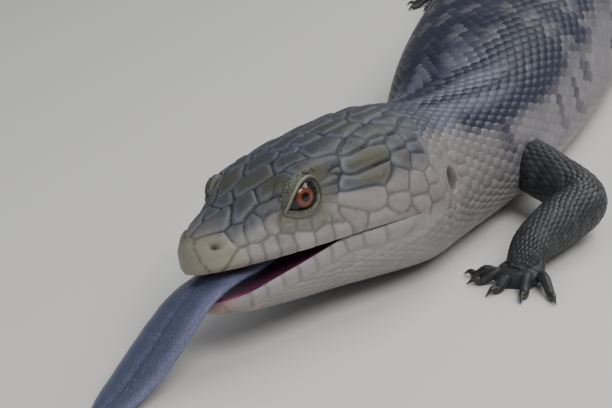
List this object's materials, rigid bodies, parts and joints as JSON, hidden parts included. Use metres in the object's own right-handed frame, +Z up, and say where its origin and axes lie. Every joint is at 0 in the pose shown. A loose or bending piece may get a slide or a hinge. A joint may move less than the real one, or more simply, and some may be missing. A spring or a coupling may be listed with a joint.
{
  "type": "blue-tongued skink model",
  "caption": "Life-size still model of a blue-tongued skink lying on its belly, head turned to its right, mouth open and its broad blue tongue reaching down to the floor.",
  "frame": {"origin": "on the flat of the belly under the middle of the torso, at floor level", "axes": "+X the way the torso points, towards the head; +Y the animal's left; +Z up"},
  "size_m": [0.5605, 0.1316, 0.0424],
  "materials": {
    "head_skin": "smooth horny head shields, satin, olive grey",
    "jaw_skin": "smooth pale lip and chin scales, satin",
    "tongue": "moist, slate blue",
    "eye": "wet glassy cornea over an orange-red iris and a round black pupil",
    "body_skin": "overlapping smooth scales, satin, grey with dark stripes and bands",
    "limb_skin": "small overlapping scales, satin, charcoal with pale specks"
  },
  "bodies": {
    "root": {"head": "head_skin", "lower_jaw": "jaw_skin", "tongue": "tongue", "eye_left": "eye", "eye_right": "eye", "neck": "body_skin", "torso_front": "body_skin", "torso_rear": "body_skin", "tail_base": "body_skin", "tail_middle": "body_skin", "tail_tip": "body_skin", "upper_arm_left": "limb_skin", "forearm_left": "limb_skin", "hand_left": "limb_skin", "thigh_left": "limb_skin", "shin_left": "limb_skin", "foot_left": "limb_skin", "upper_arm_right": "limb_skin", "forearm_right": "limb_skin", "hand_right": "limb_skin", "thigh_right": "limb_skin", "shin_right": "limb_skin", "foot_right": "limb_skin"}
  },
  "joints": []
}
